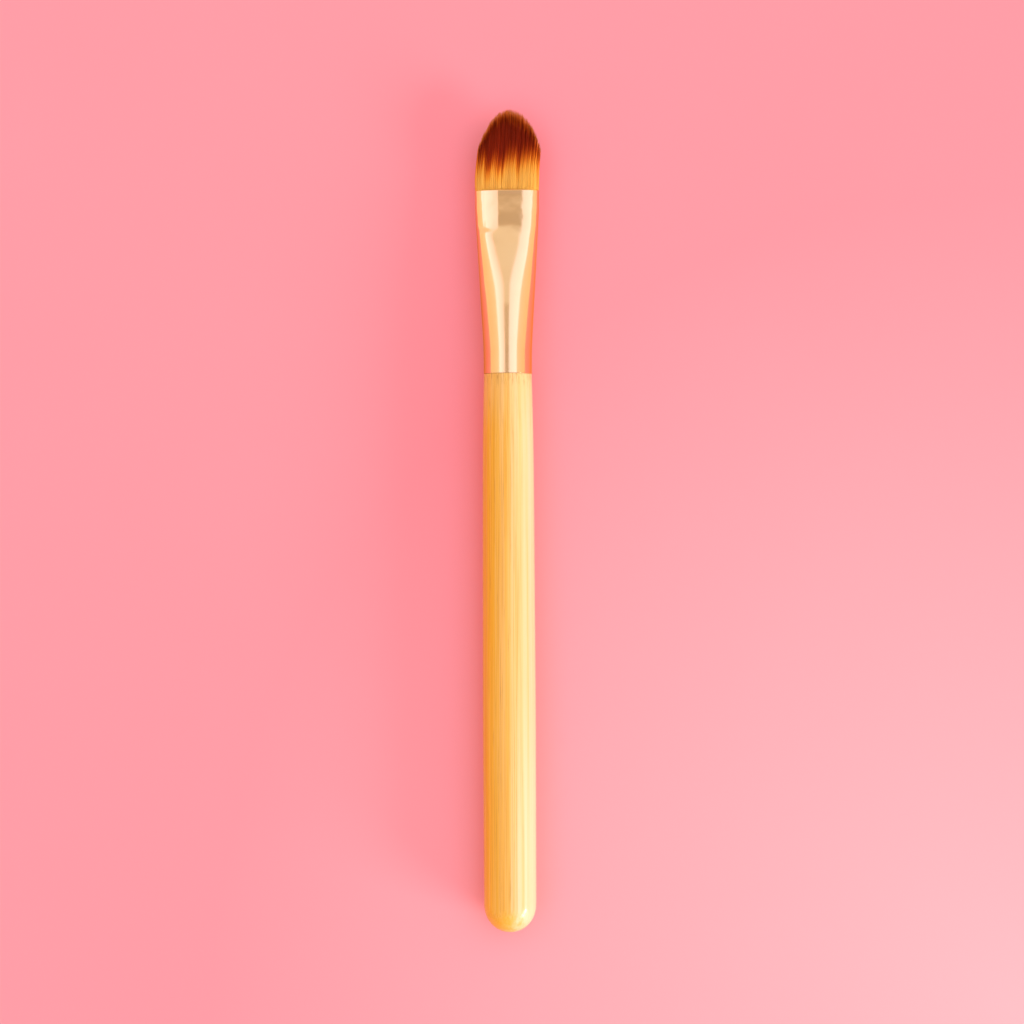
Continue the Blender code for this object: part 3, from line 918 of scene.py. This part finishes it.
# %% Bonded roots
bonded, tree, shader = new_material("bonded_filament_ends", IOR=1.5)
LENGTHWISE = (1.0, 0.02, 1.0)
along_brush = {"Vector": object_place(tree), "Scale": LENGTHWISE}
drawn_out = add_node(tree, "ShaderNodeMapping", along_brush).outputs[0]
between = remap(tree, cell_distance(tree, drawn_out, 9000.0), 0.30, 0.55)
color = mix_colors(tree, between, (0.90, 0.46, 0.08), (0.40, 0.17, 0.035))
connect(tree, shader, Base_Color=color, Roughness=remap(tree, between, 0.0, 1.0, 0.45, 0.25, smooth=False))
bump(tree, shader, minus(tree, 1.0, between), 0.01 * MM)
roots_slab.data.materials.append(bonded)

# %% Resin
resin, tree, shader = new_material("cured_resin", IOR=1.52, Coat_Weight=0.3)
flow = streak_mask(tree, 0.7 * MM, 5 * MM, shift=41.0)
color = mix_colors(tree, flow, (0.42, 0.22, 0.06), (0.58, 0.36, 0.13))
connect(tree, shader, Base_Color=color, Roughness=plus(tree, 0.2, times(tree, flow, 0.12)))
bump(tree, shader, flow, 0.05 * MM)
plug.data.materials.append(resin)

# %% Glue, on its CAD node
adhesive, tree, shader = new_material("tenon_adhesive", IOR=1.47)
place = object_place(tree)
bubbles = cell_distance(tree, place, 1800.0)
color = mix_colors(tree, noise(tree, place, 350.0), (0.72, 0.56, 0.30), (0.84, 0.72, 0.47))
connect(tree, shader, Base_Color=color, Roughness=remap(tree, bubbles, 0.1, 0.5, 0.35, 0.55))
bump(tree, shader, remap(tree, bubbles, 0.1, 0.35), 0.03 * MM)
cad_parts["tenon_glue"].material_slots[0].material = adhesive

# %% [markdown]
# ## Floor
#
# The brush lies on pink paper. The paper matters to the brush: polished metal shows it along both edges, and
# it throws pink light back onto the underside. It is one large plain sheet, matt, with a breath of variation,
# and it is painted paler at the lower right: a painted pool of light round the place where the window's light
# falls.

# %% Pink paper
PAPER_SIZE = 8
LIGHT_POOL_PLACE, LIGHT_POOL_REACH = (0.095, -0.090, 0), 0.15
bpy.ops.object.select_all(action="DESELECT")
bpy.ops.mesh.primitive_plane_add(size=PAPER_SIZE, location=(0, 0, 0))
floor = bpy.context.object
floor.name = floor.data.name = "pink_paper"
paper, tree, shader = new_material("pink_paper", Roughness=0.8, Specular_IOR_Level=0.1)
place = object_place(tree)
tooth = noise(tree, place, 24.0, detail=4.0)
color = mix_colors(tree, tooth, (0.93, 0.286, 0.322), (0.93, 0.296, 0.334))
# A painted pool of the window's light: the paper is paler near its place and within its reach
away = vector_node(tree, "DISTANCE", place, LIGHT_POOL_PLACE)["Value"]
painted_light_pool = remap(tree, away, 0.0, LIGHT_POOL_REACH, 1.0, 0.0, smooth=False)
connect(tree, shader, Base_Color=mix_colors(tree, painted_light_pool, color, (0.95, 0.465, 0.490)))
floor.data.materials.append(paper)

# %% [markdown]
# ## Light
#
# The bands on the metal tell how it was lit: two big soft boxes hang overhead, left and right, with the dim
# shape of the camera between them. Round them are warm walls, which get redder towards the floor, as the
# pink paper glows on them. All this is far away next to the size of the brush, so it is painted on the world,
# by the angle from straight up, sideways and lengthways. That sets each band's place and the softness of its
# edges exactly.
#
# The shadow falls far to the left and a small highlight sits on the right of the butt, so a low window is
# painted there as well. The camera itself sees none of this past the edge of the paper, only a plain pale
# wall.

# %% Paint the boxes overhead
# Two spans of angles, in degrees: the first is where it comes, the second where it goes
CAMERA_GAP = (-14.0, -11.5), (4.2, 6.4)
world = bpy.data.worlds.new("room")
bpy.context.scene.world = world
world.use_nodes = True
tree = world.node_tree
direction = axes_of(tree, add_node(tree, "ShaderNodeTexCoord").outputs["Generated"])


def angle_between(first, second):
    """The angle in degrees whose tangent is the first over the second."""
    return times(tree, math_node(tree, "ARCTAN2", first, second), math.degrees(1))


def angle_ramp(angle, start, end, stops):
    """Colours by angle: each stop is an angle in degrees and its colour."""
    shares = [((stop - start) / (end - start), color) for stop, color in stops]
    return ramp(tree, remap(tree, angle, start, end, smooth=False), shares)


def between_angles(angle, rising, falling):
    """1 between two angles; it rises from 0 over the first span and falls to 0 over the second."""
    return times(tree, remap(tree, angle, *rising), remap(tree, angle, *falling, 1.0, 0.0))


sideways = angle_between(direction["X"], direction["Z"])
lengthways = angle_between(math_node(tree, "ABSOLUTE", direction["Y"]), direction["Z"])
boxes = angle_ramp(sideways, -100, 100, [
    (-90, (1.08, 0.54, 0.32)), (-86, (1.10, 0.76, 0.50)), (-64, (1.10, 0.82, 0.58)),
    (-46, (1.08, 0.90, 0.72)), (-41.5, (1.15, 0.98, 0.85)), (-39.5, (1.40, 1.52, 2.00)),
    (-35, (1.35, 1.36, 1.75)), (-18, (1.25, 1.08, 1.28)), (-12, (1.20, 0.98, 1.08)),
    (-2, (1.15, 0.95, 1.00)), (5.5, (1.20, 1.16, 1.45)), (20, (1.30, 1.26, 1.62)),
    (36, (1.35, 1.38, 1.78)), (42, (1.40, 1.48, 1.95)), (44.5, (1.10, 0.88, 0.78)),
    (62, (1.08, 0.84, 0.64)), (86, (1.10, 0.76, 0.50)), (90, (1.08, 0.54, 0.32)),
])
gap_color = angle_ramp(lengthways, 0, 40, [
    (0, (0.66, 0.53, 0.50)), (7, (0.63, 0.51, 0.43)), (11.5, (0.66, 0.53, 0.44)),
    (14.5, (0.76, 0.63, 0.55)), (19, (0.93, 0.84, 0.80)), (40, (1.00, 0.88, 0.80)),
])
overhead = mix_colors(tree, between_angles(sideways, *CAMERA_GAP), boxes, gap_color)

# %% Paint the walls beyond them
BOXES_GONE = (34, 46)
walls = angle_ramp(lengthways, 40, 100, [
    (40, (1.08, 0.86, 0.70)), (70, (1.10, 0.80, 0.60)), (90, (1.12, 0.58, 0.38)),
])
room = mix_colors(tree, remap(tree, lengthways, *BOXES_GONE), overhead, walls)

# %% Paint a window at the lower right
WINDOW_BEARINGS, WINDOW_HEIGHTS = ((-46, -41), (-19, -14)), ((8, 12), (22, 26))
DAYLIGHT = (21.5, 20.0, 19.5)
bearing = angle_between(direction["Y"], direction["X"])
elevation = times(tree, math_node(tree, "ARCSINE", direction["Z"]), math.degrees(1))
window = between_angles(bearing, *WINDOW_BEARINGS)
window = times(tree, window, between_angles(elevation, *WINDOW_HEIGHTS))
lit_room = mix_colors(tree, window, room, DAYLIGHT)

# %% Show the camera a plain wall
PLAIN_WALL = (0.95, 0.62, 0.62)
seen = add_node(tree, "ShaderNodeLightPath").outputs["Is Camera Ray"]
shown = mix_colors(tree, seen, lit_room, PLAIN_WALL)
tree.links.new(shown, tree.nodes["Background"].inputs["Color"])
print("room, window and wall painted:", len(tree.nodes), "nodes")

# %% [markdown]
# ## Camera
#
# The photograph looks straight down. The ferrule's rim and lip show as shallow arcs, which tells how near the
# camera was, and the frame is 187 mm wide where the brush lies. The brush isn't quite upright in the picture,
# so the camera is turned a quarter of a degree.

# %% Look straight down
FOCAL_LENGTH_MM, SENSOR_MM = 86.5, 36
CAMERA_PLACE, CAMERA_TURN = (0.00065, 0.00159, 0.4539), math.radians(-0.262)
lens = bpy.data.cameras.new("overhead")
lens.lens, lens.sensor_width = FOCAL_LENGTH_MM, SENSOR_MM
camera = bpy.data.objects.new("overhead", lens)
camera.location = CAMERA_PLACE
camera.rotation_euler = (0, 0, CAMERA_TURN)
bpy.context.collection.objects.link(camera)
bpy.context.scene.camera = camera
bpy.context.scene.view_settings.view_transform = "Standard"
